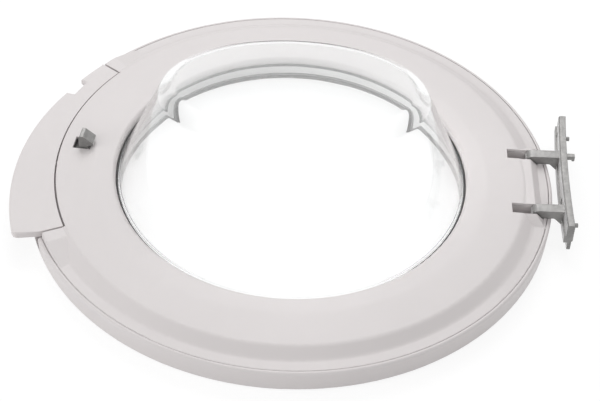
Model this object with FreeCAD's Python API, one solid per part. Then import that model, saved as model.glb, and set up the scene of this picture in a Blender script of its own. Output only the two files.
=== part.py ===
import FreeCAD
import Part
import math
import os

# Porthole door of a front-loading washing machine, complete with handle, latch hook and hinge.
# It lies on its front face, as it would on a bench: +Z points from the front face towards the drum,
# +X points from the centre of the porthole to the hinge. Millimetres and degrees.

# Driving sizes of the two frame rings
DOOR_RADIUS = 230.0
DOOR_EDGE_HEIGHT = 21.3
DOOR_EDGE_ROUND = 2.2
OUTER_WALL = 3.2
OUTER_WALL_DRAFT = 1.0
FRONT_SKIN = 2.8
FRONT_EDGE_ROUND = 4.0
FRONT_BEVEL_WIDTH = 26.0
FRONT_BEVEL_HEIGHT = 5.0
FRONT_BEVEL_ROUND = 12.0
FRONT_BEVEL_INNER_ROUND = 6.0
FRONT_LIP_ROUND = 1.2
SEAT_EDGE_ROUND = 0.6
RING_WIDTH = 78.4
RING_GAP = 0.4
RING_WALL = 2.5
RIM_WIDTH = 14.0
RIM_RISE = 0.2
RIM_CAMBER = 0.3
RIM_ROUND = 1.0
STEP_WIDTH = 10.0
STEP_RISE = 6.7
STEP_HEAD_ROUND = 10.0
STEP_FOOT_ROUND = 8.0
STEP_UNDER_SHIFT = 0.8
STEP_UNDER_HEAD_ROUND = 12.0
STEP_UNDER_FOOT_ROUND = 6.0
CROWN_INSET = 18.2
CROWN_RISE = 1.4
CROWN_ROUND = 60.0
BORE_EDGE_RISE = 0.4
BORE_EDGE_ROUND = 4.0
BORE_UNDER_ROUND = 1.5
SKIRT_DEPTH = 9.5
LIP_DEPTH = 8.3

# Glass bowl and its seal. The bowl is a cone that ends in a slanted face, deeper towards -Y.
GLASS_WALL = 4.0
GLASS_BORE_GAP = 2.2
GLASS_FRONT_LEDGE = 1.6
GLASS_FLANGE_WIDTH = 13.6
GLASS_FLANGE_ROUND = 0.8
GLASS_SEAT_HEIGHT = 8.0
GLASS_NECK_DEPTH = 4.6
GLASS_NECK_ROUND = 8.0
GLASS_DRAFT_ANGLE = 23.5
GLASS_END_RISE = 87.3
GLASS_END_SLANT_ANGLE = 19.1
GLASS_SHOULDER_ROUND = 14.0
GLASS_ROOT_ROUND = 2.0
SEAL_CLEARANCE = 0.3
SEAL_BODY_WIDTH = 6.0
SEAL_BODY_ROUND = 0.8
SEAL_WIPER_RISE = 3.3
SEAL_WIPER_DEPTH = 2.0
SEAL_WIPER_ROUND = 0.4

# Pull handle, set in a sector of the rim
HANDLE_MID_ANGLE = 173.0
HANDLE_HALF_SPAN_ANGLE = 30.5
HANDLE_END_GAP_ANGLE = 0.4
HANDLE_SEAM_GAP = 1.2
HANDLE_STEP_DROP = 1.1
HANDLE_SLOPE_RATIO = 0.22
HANDLE_LIP_THICKNESS = 6.0
HANDLE_BULGE_REACH = 16.0
HANDLE_BULGE_MIDDLE_RATIO = 0.53
HANDLE_BULGE_START_ANGLE = -17.0
HANDLE_CORNER_ROUND = 5.0
HANDLE_NOTCH_START_ANGLE = -23.9
HANDLE_NOTCH_END_ANGLE = -18.5
HANDLE_NOTCH_TAPER_ANGLE = 1.08
HANDLE_NOTCH_DEPTH = 6.5
HANDLE_WELL_FLOOR_HEIGHT = 6.0

# Pivot that the handle and the hook share
PIVOT_INSET = 8.0
PIVOT_DEPTH = 12.2
PIVOT_PIN_RADIUS = 2.0
PIVOT_PIN_HALF_LENGTH = 33.0
PIVOT_RUNNING_GAP = 0.06
PIVOT_SEAT_GAP = 0.02
PIVOT_LUG_OFFSET = 30.0
PIVOT_LUG_SEAM_GAP = 0.5
HANDLE_LUG_OFFSET = 24.0
HANDLE_LUG_REACH = 12.0
HANDLE_LUG_ROOT = 2.0
HANDLE_LUG_TAPER = 4.0
HANDLE_LUG_ROUND = 3.0
LUG_THICKNESS = 4.0
PIVOT_EYE_RADIUS = 5.0
SPRING_WIRE = 1.2
SPRING_MEAN_RADIUS = 3.4
SPRING_OFFSET = 8.6
SPRING_TURNS = 6
SPRING_PITCH = 1.9

# Latch hook
HOOK_WIDTH = 12.0
HOOK_EYE_RADIUS = 5.5
HOOK_STEM_SET_BACK = 8.5
HOOK_STEM_DEPTH = 8.0
HOOK_HEEL_DEPTH = 6.0
HOOK_ELBOW_HEIGHT = 8.0
HOOK_ELBOW_ROUND = 3.0
HOOK_NOSE_REACH = 5.0
HOOK_NOSE_RISE = 4.3
HOOK_NOSE_THICKNESS = 2.0
HOOK_NOSE_UNDERCUT = 1.5
HOOK_TOP_RISE = 13.3
HOOK_TOP_DEPTH = 4.0
HOOK_TOP_CHAMFER = 1.0
HOOK_TOP_CHAMFER_DROP = 3.0
HOOK_EDGE_ROUND = 0.8
HOOK_HEEL_ROUND = 2.0
HOOK_SLOT_INNER_GAP = 2.5
HOOK_SLOT_OUTER_GAP = 5.5
HOOK_SLOT_SIDE_GAP = 1.5

# Hinge: a casting with a fixing plate and two swan-neck arms that turn on short pins
HINGE_PIVOT_INSET = 17.0
HINGE_PIVOT_DEPTH = 10.0
HINGE_ARM_SPACING = 70.0
HINGE_ARM_MID_Y = -1.5
HINGE_ARM_WIDTH = 9.4
HINGE_ARM_DEPTH = 9.4
HINGE_STOP_GAP = 0.2
HINGE_NECK_ROUND = 6.5
HINGE_NECK_INNER_ROUND = 2.5
HINGE_NECK_TAPER = 2.0
HINGE_GUSSET_ROUND = 10.5
HINGE_CORNER_ROUND = 3.5
HINGE_KNUCKLE_RADIUS = 6.0
HINGE_BUSH_RADIUS = 4.3
HINGE_PIN_RADIUS = 3.0
HINGE_RUNNING_GAP = 0.05
HINGE_SEAT_GAP = 0.02
HINGE_PLATE_GAP = 8.0
HINGE_PLATE_THICKNESS = 7.5
HINGE_PLATE_LENGTH = 144.0
HINGE_PLATE_MID_Y = 10.3
HINGE_PLATE_HEIGHT = 24.0
HINGE_PLATE_RISE = 2.4
HINGE_PLATE_TOP_ROUND = 2.0
HINGE_PLATE_EDGE_ROUND = 0.6
HINGE_FLANGE_REACH = 3.0
HINGE_FLANGE_THICKNESS = 3.0
HINGE_FLANGE_FILLET = 1.0
HINGE_STRIP_THICKNESS = 3.2
HINGE_STRIP_HEIGHT = 4.0
HINGE_SLOT_INNER_REACH = 21.2
HINGE_SLOT_OUTER_REACH = 6.6
HINGE_SLOT_SIDE_GAP = 1.2
HINGE_HOLE_RADIUS = 2.5
HINGE_HOLE_SPACING = 88.0
HINGE_HOLE_FAR_INSET = 14.3
HINGE_HOLE_DEPTH = 10.5
HINGE_PEG_RADIUS = 2.4
HINGE_PEG_LENGTH = 4.0
HINGE_PEG_FAR_INSET = 26.3
HINGE_PEG_NEAR_INSET = 5.7
HINGE_PEG_DEPTH = 4.5
HINGE_CLAW_OFFSET = 22.7
HINGE_CLAW_DEPTH = 5.5
HINGE_CLAW_WIDTH = 5.0
HINGE_CLAW_REACH = 7.5
HINGE_CLAW_TIP = 2.5
HINGE_CLAW_DROP = 3.0
HINGE_CLAW_ROUND = 0.6
BEARING_LUG_THICKNESS = 6.0
BEARING_LUG_INNER = 11.0
BEARING_LUG_OUTER = 4.6
BEARING_SIDE_GAP = 1.3
BEARING_CAP_DEPTH = 5.3
BEARING_SCREW_OFFSET = 6.8
SCREW_RADIUS = 1.5
SCREW_LENGTH = 12.0
SCREW_HEAD_RADIUS = 2.8
SCREW_HEAD_HEIGHT = 2.0

# How far a cut or a joined root runs past the surface that it meets
OVERRUN = 1.0

# Sizes that follow from the ones above
GLASS_NECK_RADIUS = DOOR_RADIUS - RING_WIDTH
RING_BORE_RADIUS = GLASS_NECK_RADIUS + GLASS_BORE_GAP
CROWN_RADIUS = RING_BORE_RADIUS + CROWN_INSET
RING_EDGE_RADIUS = DOOR_RADIUS - OUTER_WALL - RING_GAP
STEP_FOOT_RADIUS = DOOR_RADIUS - RIM_WIDTH
STEP_HEAD_RADIUS = STEP_FOOT_RADIUS - STEP_WIDTH
FRONT_OPENING_RADIUS = GLASS_NECK_RADIUS - GLASS_FRONT_LEDGE
FRONT_FLAT_INNER_RADIUS = FRONT_OPENING_RADIUS + FRONT_BEVEL_WIDTH
RIM_HEIGHT = DOOR_EDGE_HEIGHT + RIM_RISE
PLATEAU_HEIGHT = RIM_HEIGHT + STEP_RISE
CROWN_HEIGHT = PLATEAU_HEIGHT + CROWN_RISE
BORE_EDGE_HEIGHT = PLATEAU_HEIGHT + BORE_EDGE_RISE
SKIRT_FOOT_HEIGHT = RIM_HEIGHT - SKIRT_DEPTH
LIP_FOOT_HEIGHT = BORE_EDGE_HEIGHT - LIP_DEPTH
ABOVE_ALL = 2 * PLATEAU_HEIGHT
GLASS_NECK_TOP = BORE_EDGE_HEIGHT - GLASS_NECK_DEPTH
GLASS_END_HEIGHT = BORE_EDGE_HEIGHT + GLASS_END_RISE
HANDLE_SEAM_RADIUS = STEP_HEAD_RADIUS
HANDLE_INNER_RADIUS = HANDLE_SEAM_RADIUS + 0.5 * HANDLE_SEAM_GAP
HANDLE_LIP_RADIUS = DOOR_RADIUS + HANDLE_BULGE_REACH
HANDLE_END_ANGLE = HANDLE_HALF_SPAN_ANGLE - HANDLE_END_GAP_ANGLE
PIVOT_RADIUS = HANDLE_SEAM_RADIUS - PIVOT_INSET
PIVOT_HEIGHT = PLATEAU_HEIGHT - PIVOT_DEPTH
HOOK_STEM_OUTER = PIVOT_RADIUS - HOOK_STEM_SET_BACK
HOOK_STEM_INNER = HOOK_STEM_OUTER - HOOK_STEM_DEPTH
HOOK_TIP = HOOK_STEM_INNER - HOOK_NOSE_REACH
HOOK_NOSE_HEIGHT = PLATEAU_HEIGHT + HOOK_NOSE_RISE
HOOK_TOP_HEIGHT = PLATEAU_HEIGHT + HOOK_TOP_RISE
HINGE_PIVOT_X = DOOR_RADIUS - HINGE_PIVOT_INSET
HINGE_PIVOT_HEIGHT = RIM_HEIGHT - HINGE_PIVOT_DEPTH
HINGE_ARM_YS = (HINGE_ARM_MID_Y + 0.5 * HINGE_ARM_SPACING, HINGE_ARM_MID_Y - 0.5 * HINGE_ARM_SPACING)
HINGE_ARM_BOTTOM = RIM_HEIGHT + HINGE_STOP_GAP
HINGE_ARM_TOP = HINGE_ARM_BOTTOM + HINGE_ARM_DEPTH
HINGE_PLATE_X = DOOR_RADIUS + HINGE_PLATE_GAP
HINGE_PLATE_OUTER_X = HINGE_PLATE_X + HINGE_PLATE_THICKNESS
HINGE_PLATE_TOP = HINGE_ARM_TOP + HINGE_PLATE_RISE
HINGE_PLATE_BOTTOM = HINGE_PLATE_TOP - HINGE_PLATE_HEIGHT
HINGE_PLATE_FAR_Y = HINGE_PLATE_MID_Y + 0.5 * HINGE_PLATE_LENGTH
HINGE_PLATE_NEAR_Y = HINGE_PLATE_MID_Y - 0.5 * HINGE_PLATE_LENGTH
HINGE_HOLE_FAR_Y = HINGE_PLATE_FAR_Y - HINGE_HOLE_FAR_INSET
HINGE_HOLE_YS = (HINGE_HOLE_FAR_Y, HINGE_HOLE_FAR_Y - HINGE_HOLE_SPACING)
HINGE_PEG_YS = (HINGE_PLATE_FAR_Y - HINGE_PEG_FAR_INSET, HINGE_PLATE_NEAR_Y + HINGE_PEG_NEAR_INSET)

AXIS = FreeCAD.Vector(0, 0, 1)
ORIGIN = FreeCAD.Vector(0, 0, 0)


def polar(radius, angle, height=0.0):
    """A point at a radius and an angle in degrees."""
    turn = math.radians(angle)
    return FreeCAD.Vector(radius * math.cos(turn), radius * math.sin(turn), height)


def rounded_wire(corners):
    """A closed wire through (point, round) corners, each corner with a round above zero as an arc."""
    edges = []
    joints = []
    count = len(corners)
    for index, (point, round_radius) in enumerate(corners):
        back = (corners[index - 1][0] - point).normalize()
        ahead = (corners[(index + 1) % count][0] - point).normalize()
        half = 0.5 * back.getAngle(ahead)
        if round_radius <= 0 or abs(half - 0.5 * math.pi) < 1e-6:
            joints.append((point, None, point))
            continue
        reach = round_radius / math.tan(half)
        bisector = (back + ahead).normalize()
        middle = point + bisector * (round_radius / math.sin(half) - round_radius)
        joints.append((point + back * reach, middle, point + ahead * reach))
    for index, (start, middle, end) in enumerate(joints):
        if middle is not None:
            edges.append(Part.Arc(start, middle, end).toShape())
        following = joints[(index + 1) % count][0]
        if (following - end).Length > 1e-6:
            edges.append(Part.LineSegment(end, following).toShape())
    return Part.Wire(edges)


def section(corners):
    """A face in the radius and height plane, from (radius, height, round) corners."""
    return Part.Face(rounded_wire([(FreeCAD.Vector(r, 0, z), fillet) for r, z, fillet in corners]))


def turned(corners):
    """A solid of revolution about the door's axis."""
    return section(corners).revolve(ORIGIN, AXIS, 360)


def sector_prism(inner_radius, outer_radius, start_angle, end_angle, bottom, top):
    """A block between two radii and two angles."""
    middle_angle = 0.5 * (start_angle + end_angle)
    inner = [polar(inner_radius, a, bottom) for a in (start_angle, middle_angle, end_angle)]
    outer = [polar(outer_radius, a, bottom) for a in (start_angle, middle_angle, end_angle)]
    wire = Part.Wire([
        Part.Arc(*inner).toShape(),
        Part.LineSegment(inner[2], outer[2]).toShape(),
        Part.Arc(outer[2], outer[1], outer[0]).toShape(),
        Part.LineSegment(outer[0], inner[0]).toShape(),
    ])
    return Part.Face(wire).extrude(AXIS * (top - bottom))


def block(low, high):
    """A box between two corners."""
    size = [high[i] - low[i] for i in range(3)]
    return Part.makeBox(size[0], size[1], size[2], FreeCAD.Vector(*low))


def rod_along_y(radius, x, height, y_start, y_end):
    """A cylinder along Y."""
    return Part.makeCylinder(radius, y_end - y_start, FreeCAD.Vector(x, y_start, height),
                             FreeCAD.Vector(0, 1, 0))


def rod_along_x(radius, y, height, x_start, x_end):
    """A cylinder along X."""
    return Part.makeCylinder(radius, x_end - x_start, FreeCAD.Vector(x_start, y, height),
                             FreeCAD.Vector(1, 0, 0))


def plate_across_y(corners, y_start, y_end):
    """A plate with (x, height, round) corners, extruded along Y."""
    wire = rounded_wire([(FreeCAD.Vector(x, y_start, z), fillet) for x, z, fillet in corners])
    return Part.Face(wire).extrude(FreeCAD.Vector(0, y_end - y_start, 0))


def to_handle(shape):
    """Turns a shape that was drawn along +X to the middle of the handle."""
    placed = shape.copy()
    placed.rotate(ORIGIN, AXIS, HANDLE_MID_ANGLE)
    return placed


def bearing_lug_spans():
    """The Y spans of the four lugs that carry the two hinge pins."""
    near_side = 0.5 * HINGE_ARM_WIDTH + BEARING_SIDE_GAP
    far_side = near_side + BEARING_LUG_THICKNESS
    spans = []
    for y in HINGE_ARM_YS:
        spans.append((y + near_side, y + far_side))
        spans.append((y - far_side, y - near_side))
    return spans


def ring_top_corners():
    """The show face of the inner ring, from its bore to its rim."""
    return [
        (RING_BORE_RADIUS, BORE_EDGE_HEIGHT, BORE_EDGE_ROUND),
        (CROWN_RADIUS, CROWN_HEIGHT, CROWN_ROUND),
        (STEP_HEAD_RADIUS, PLATEAU_HEIGHT, STEP_HEAD_ROUND),
        (STEP_FOOT_RADIUS, RIM_HEIGHT + RIM_CAMBER, STEP_FOOT_ROUND),
        (RING_EDGE_RADIUS, RIM_HEIGHT, RIM_ROUND),
    ]


def ring_under_corners():
    """The underside of the inner ring, one wall below the show face, from its skirt to its lip."""
    return [
        (RING_EDGE_RADIUS - RING_WALL, RIM_HEIGHT - RING_WALL, RIM_ROUND),
        (STEP_FOOT_RADIUS - STEP_UNDER_SHIFT, RIM_HEIGHT + RIM_CAMBER - RING_WALL, STEP_UNDER_FOOT_ROUND),
        (STEP_HEAD_RADIUS - STEP_UNDER_SHIFT, PLATEAU_HEIGHT - RING_WALL, STEP_UNDER_HEAD_ROUND),
        (CROWN_RADIUS, CROWN_HEIGHT - RING_WALL, CROWN_ROUND),
        (RING_BORE_RADIUS + RING_WALL, BORE_EDGE_HEIGHT - RING_WALL, BORE_UNDER_ROUND),
    ]


def ring_envelope():
    """All the room under the show face of the inner ring, used to trim what is moulded below it."""
    foot = [(RING_EDGE_RADIUS, FRONT_SKIN, 0), (RING_BORE_RADIUS, FRONT_SKIN, 0)]
    return turned(ring_top_corners() + foot)


def handle_cutter():
    """The sector that the handle takes out of both rings, with its seam and end gaps."""
    return sector_prism(HANDLE_SEAM_RADIUS - 0.5 * HANDLE_SEAM_GAP, DOOR_RADIUS + OVERRUN,
                        HANDLE_MID_ANGLE - HANDLE_HALF_SPAN_ANGLE, HANDLE_MID_ANGLE + HANDLE_HALF_SPAN_ANGLE,
                        HANDLE_WELL_FLOOR_HEIGHT, ABOVE_ALL)


def pivot_lugs():
    """Two lugs under the inner ring that hold the pivot pin of the handle."""
    lugs = []
    for side in (-1, 1):
        start = side * PIVOT_LUG_OFFSET - 0.5 * LUG_THICKNESS
        foot = PIVOT_HEIGHT - PIVOT_EYE_RADIUS
        lug = block((PIVOT_RADIUS - PIVOT_EYE_RADIUS, start, foot),
                    (PIVOT_RADIUS + PIVOT_EYE_RADIUS - PIVOT_LUG_SEAM_GAP, start + LUG_THICKNESS, ABOVE_ALL))
        bore = rod_along_y(PIVOT_PIN_RADIUS + PIVOT_SEAT_GAP, PIVOT_RADIUS, PIVOT_HEIGHT, start - OVERRUN,
                           start + LUG_THICKNESS + OVERRUN)
        lugs.append(to_handle(lug.cut(bore)))
    return lugs


def bearing_lugs():
    """Four lugs under the inner ring, each with a half-round seat for a hinge pin and a screw hole."""
    lugs = []
    for y_start, y_end in bearing_lug_spans():
        lug = block((HINGE_PIVOT_X - BEARING_LUG_INNER, y_start, HINGE_PIVOT_HEIGHT),
                    (HINGE_PIVOT_X + BEARING_LUG_OUTER, y_end, ABOVE_ALL))
        lug = lug.cut(rod_along_y(HINGE_PIN_RADIUS + HINGE_SEAT_GAP, HINGE_PIVOT_X, HINGE_PIVOT_HEIGHT,
                                  y_start - OVERRUN, y_end + OVERRUN))
        lugs.append(lug.cut(bearing_screw_shank(0.5 * (y_start + y_end), SCREW_RADIUS + HINGE_SEAT_GAP)))
    return lugs


def bearing_screw_shank(y, radius):
    """The shank of the screw that holds one bearing cap, on the inner side of the pin."""
    foot = HINGE_PIVOT_HEIGHT - BEARING_CAP_DEPTH
    return Part.makeCylinder(radius, SCREW_LENGTH,
                             FreeCAD.Vector(HINGE_PIVOT_X - BEARING_SCREW_OFFSET, y, foot))


def hinge_slots():
    """The two slots of the inner ring through which the hinge arms swing."""
    half = 0.5 * HINGE_ARM_WIDTH + HINGE_SLOT_SIDE_GAP
    return [block((HINGE_PIVOT_X - HINGE_SLOT_INNER_REACH, y - half, HINGE_PIVOT_HEIGHT),
                  (HINGE_PIVOT_X + HINGE_SLOT_OUTER_REACH, y + half, ABOVE_ALL)) for y in HINGE_ARM_YS]


def hook_slot():
    """The slot of the inner ring that the hook stands in."""
    half = 0.5 * HOOK_WIDTH + HOOK_SLOT_SIDE_GAP
    return to_handle(block((HOOK_STEM_INNER - HOOK_SLOT_INNER_GAP, -half, PIVOT_HEIGHT),
                           (HOOK_STEM_OUTER + HOOK_SLOT_OUTER_GAP, half, ABOVE_ALL)))


def inner_ring():
    skirt = [(RING_EDGE_RADIUS, SKIRT_FOOT_HEIGHT, 0), (RING_EDGE_RADIUS - RING_WALL, SKIRT_FOOT_HEIGHT, 0)]
    lip = [(RING_BORE_RADIUS + RING_WALL, LIP_FOOT_HEIGHT, 0), (RING_BORE_RADIUS, LIP_FOOT_HEIGHT, 0)]
    ring = turned(ring_top_corners() + skirt + ring_under_corners() + lip)
    envelope = ring_envelope()
    ring = ring.cut(handle_cutter())
    ring = ring.fuse([lug.common(envelope) for lug in pivot_lugs() + bearing_lugs()])
    return ring.cut(hinge_slots() + [hook_slot()]).removeSplitter()


def outer_ring():
    wall_inside = DOOR_RADIUS - OUTER_WALL
    ledge = wall_inside - OUTER_WALL
    flange_edge = GLASS_NECK_RADIUS + GLASS_FLANGE_WIDTH + RING_GAP
    bevel = FRONT_BEVEL_HEIGHT / FRONT_BEVEL_WIDTH
    collar = flange_edge + RING_WALL
    collar_foot = bevel * (FRONT_FLAT_INNER_RADIUS - collar) + FRONT_SKIN
    ring = turned([
        (wall_inside, DOOR_EDGE_HEIGHT, 0),
        (DOOR_RADIUS, DOOR_EDGE_HEIGHT, DOOR_EDGE_ROUND),
        (DOOR_RADIUS - OUTER_WALL_DRAFT, 0, FRONT_EDGE_ROUND),
        (FRONT_FLAT_INNER_RADIUS, 0, FRONT_BEVEL_ROUND),
        (FRONT_OPENING_RADIUS, FRONT_BEVEL_HEIGHT, FRONT_LIP_ROUND),
        (FRONT_OPENING_RADIUS, GLASS_SEAT_HEIGHT, SEAT_EDGE_ROUND),
        (flange_edge, GLASS_SEAT_HEIGHT, 0),
        (flange_edge, GLASS_SEAT_HEIGHT + GLASS_WALL, SEAT_EDGE_ROUND),
        (collar, GLASS_SEAT_HEIGHT + GLASS_WALL, SEAT_EDGE_ROUND),
        (collar, collar_foot, 0),
        (FRONT_FLAT_INNER_RADIUS, FRONT_SKIN, FRONT_BEVEL_INNER_ROUND),
        (ledge, FRONT_SKIN, 0),
        (ledge, SKIRT_FOOT_HEIGHT, 0),
        (wall_inside, SKIRT_FOOT_HEIGHT, 0),
    ])
    return ring.cut(handle_cutter()).removeSplitter()


def bowl_body(offset, shoulder_round, foot):
    """A neck and a cone, an offset inside the show face, cut by the slanted end face and rounded there."""
    lean = math.radians(GLASS_DRAFT_ANGLE)
    slant = math.radians(GLASS_END_SLANT_ANGLE)
    neck = GLASS_NECK_RADIUS - offset
    neck_top = GLASS_NECK_TOP - offset * math.tan(0.5 * lean)
    tall = GLASS_END_HEIGHT + GLASS_NECK_RADIUS * math.tan(slant)
    body = turned([
        (0, foot, 0),
        (neck, foot, 0),
        (neck, neck_top, GLASS_NECK_ROUND - offset),
        (neck - (tall - neck_top) * math.tan(lean), tall, 0),
        (0, tall, 0),
    ])
    end = Part.makeBox(4 * DOOR_RADIUS, 4 * DOOR_RADIUS, tall,
                       FreeCAD.Vector(-2 * DOOR_RADIUS, -2 * DOOR_RADIUS, 0))
    end.rotate(ORIGIN, FreeCAD.Vector(1, 0, 0), -GLASS_END_SLANT_ANGLE)
    end.translate(FreeCAD.Vector(0, 0, GLASS_END_HEIGHT - offset / math.cos(slant)))
    body = body.cut(end)
    normal = FreeCAD.Vector(0, math.sin(slant), math.cos(slant))
    flats = [face for face in body.Faces if face.Surface.TypeId == "Part::GeomPlane"]
    slanted = max(flats, key=lambda face: face.normalAt(0, 0).dot(normal))
    return body.makeFillet(shoulder_round, slanted.Edges)


def glass_bowl():
    top = GLASS_SEAT_HEIGHT + GLASS_WALL
    flange_radius = GLASS_NECK_RADIUS + GLASS_FLANGE_WIDTH
    flange = turned([
        (0, GLASS_SEAT_HEIGHT, 0),
        (flange_radius, GLASS_SEAT_HEIGHT, GLASS_FLANGE_ROUND),
        (flange_radius, top, GLASS_FLANGE_ROUND),
        (GLASS_NECK_RADIUS, top, GLASS_ROOT_ROUND),
        (GLASS_NECK_RADIUS, top + 2 * GLASS_ROOT_ROUND, 0),
        (0, top + 2 * GLASS_ROOT_ROUND, 0),
    ])
    outside = bowl_body(0.0, GLASS_SHOULDER_ROUND, top)
    inside = bowl_body(GLASS_WALL, GLASS_SHOULDER_ROUND - GLASS_WALL, GLASS_SEAT_HEIGHT - GLASS_WALL)
    return outside.fuse(flange).cut(inside).removeSplitter()


def glass_seal():
    """A moulded ring that the lip presses on the flange, with a wiper up the neck of the glass."""
    foot = GLASS_SEAT_HEIGHT + GLASS_WALL
    inner = GLASS_NECK_RADIUS + GLASS_ROOT_ROUND + SEAL_CLEARANCE
    wiper_outer = RING_BORE_RADIUS - SEAL_CLEARANCE
    wiper_inner = GLASS_NECK_RADIUS + SEAL_CLEARANCE
    wiper_top = LIP_FOOT_HEIGHT + SEAL_WIPER_RISE
    return turned([
        (inner, foot, 0),
        (inner + SEAL_BODY_WIDTH, foot, 0),
        (inner + SEAL_BODY_WIDTH, LIP_FOOT_HEIGHT, SEAL_BODY_ROUND),
        (wiper_outer, LIP_FOOT_HEIGHT, 0),
        (wiper_outer, wiper_top, SEAL_WIPER_ROUND),
        (wiper_inner, wiper_top, SEAL_WIPER_ROUND),
        (wiper_inner, LIP_FOOT_HEIGHT - SEAL_WIPER_DEPTH, 0),
        (inner, foot + GLASS_ROOT_ROUND + SEAL_CLEARANCE, 0),
    ])


def handle_outline():
    """The handle seen along the door's axis, drawn about +X: flush with the rim, then bulging to a lip."""
    end = HANDLE_END_ANGLE
    bulge_middle = 0.5 * (HANDLE_BULGE_START_ANGLE + end)
    bulge_middle_radius = DOOR_RADIUS + HANDLE_BULGE_MIDDLE_RATIO * HANDLE_BULGE_REACH
    flush_middle = 0.5 * (HANDLE_BULGE_START_ANGLE - end)
    start = polar(HANDLE_INNER_RADIUS, -end)
    far = polar(HANDLE_INNER_RADIUS, end)
    tip = polar(HANDLE_LIP_RADIUS, end)
    root = polar(DOOR_RADIUS, HANDLE_BULGE_START_ANGLE)
    flush = polar(DOOR_RADIUS, -end)
    return Part.Wire([
        Part.Arc(start, polar(HANDLE_INNER_RADIUS, 0), far).toShape(),
        Part.LineSegment(far, tip).toShape(),
        Part.Arc(tip, polar(bulge_middle_radius, bulge_middle), root).toShape(),
        Part.Arc(root, polar(DOOR_RADIUS, flush_middle), flush).toShape(),
        Part.LineSegment(flush, start).toShape(),
    ])


def handle_notch():
    """The small step in the flush part of the handle's outer edge."""
    start = HANDLE_NOTCH_START_ANGLE
    end = HANDLE_NOTCH_END_ANGLE
    taper = HANDLE_NOTCH_TAPER_ANGLE
    floor = DOOR_RADIUS - HANDLE_NOTCH_DEPTH
    beyond = DOOR_RADIUS + HANDLE_NOTCH_DEPTH
    points = [polar(beyond, start - taper), polar(floor, start + taper), polar(floor, end - taper),
              polar(beyond, end + taper)]
    return Part.Face(Part.makePolygon(points + points[:1])).extrude(AXIS * ABOVE_ALL)


def handle_height(radius):
    """The height of the handle's sloping top at a radius."""
    return PLATEAU_HEIGHT - HANDLE_STEP_DROP - HANDLE_SLOPE_RATIO * (radius - HANDLE_INNER_RADIUS)


def handle_lever():
    """A sloping plate with a rounded show edge, and two eyes on the pivot pin."""
    foot_radius = HANDLE_INNER_RADIUS - OVERRUN
    outer_radius = HANDLE_LIP_RADIUS + OVERRUN
    plate = turned([
        (foot_radius, handle_height(foot_radius), 0),
        (outer_radius, handle_height(outer_radius), 0),
        (outer_radius, handle_height(outer_radius) - HANDLE_LIP_THICKNESS, 0),
        (foot_radius, handle_height(foot_radius) - HANDLE_LIP_THICKNESS, 0),
    ])
    prism = Part.Face(handle_outline()).extrude(AXIS * ABOVE_ALL)
    tip = polar(HANDLE_LIP_RADIUS, HANDLE_END_ANGLE, PLATEAU_HEIGHT)
    corner = min(prism.Edges, key=lambda edge: (edge.CenterOfMass - tip).Length)
    prism = prism.makeFillet(HANDLE_CORNER_ROUND, [corner]).cut(handle_notch())
    plate = plate.common(prism)
    for side in (-1, 1):
        start = side * HANDLE_LUG_OFFSET - 0.5 * LUG_THICKNESS
        reach = HANDLE_INNER_RADIUS + HANDLE_LUG_REACH
        top = handle_height(reach) - 0.5 * HANDLE_LIP_THICKNESS
        lug = plate_across_y([
            (PIVOT_RADIUS, PIVOT_HEIGHT + PIVOT_EYE_RADIUS, 0),
            (HANDLE_INNER_RADIUS + HANDLE_LUG_ROOT, top, 0),
            (reach, top, 0),
            (reach - HANDLE_LUG_TAPER, PIVOT_HEIGHT - HANDLE_LUG_ROOT, HANDLE_LUG_ROUND),
            (PIVOT_RADIUS, PIVOT_HEIGHT - PIVOT_EYE_RADIUS, 0),
        ], start, start + LUG_THICKNESS)
        eye = rod_along_y(PIVOT_EYE_RADIUS, PIVOT_RADIUS, PIVOT_HEIGHT, start, start + LUG_THICKNESS)
        bore = rod_along_y(PIVOT_PIN_RADIUS + PIVOT_RUNNING_GAP, PIVOT_RADIUS, PIVOT_HEIGHT, start - OVERRUN,
                           start + LUG_THICKNESS + OVERRUN)
        plate = plate.fuse(lug.fuse(eye)).cut(bore)
    return to_handle(plate.removeSplitter())


def handle_pin():
    return to_handle(rod_along_y(PIVOT_PIN_RADIUS, PIVOT_RADIUS, PIVOT_HEIGHT, -PIVOT_PIN_HALF_LENGTH,
                                 PIVOT_PIN_HALF_LENGTH))


def coil(side):
    """A torsion spring wound round the pivot pin, on one side of the hook."""
    length = SPRING_TURNS * SPRING_PITCH
    helix = Part.makeHelix(SPRING_PITCH, length, SPRING_MEAN_RADIUS)
    start = FreeCAD.Vector(SPRING_MEAN_RADIUS, 0, 0)
    wire = Part.Wire([Part.makeCircle(0.5 * SPRING_WIRE, start, FreeCAD.Vector(0, 1, 0))])
    spring = Part.Wire(helix).makePipeShell([wire], True, True)
    spring.rotate(ORIGIN, FreeCAD.Vector(1, 0, 0), -90)
    first = SPRING_OFFSET if side > 0 else -SPRING_OFFSET - length
    spring.translate(FreeCAD.Vector(PIVOT_RADIUS, first, PIVOT_HEIGHT))
    return to_handle(spring)


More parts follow.
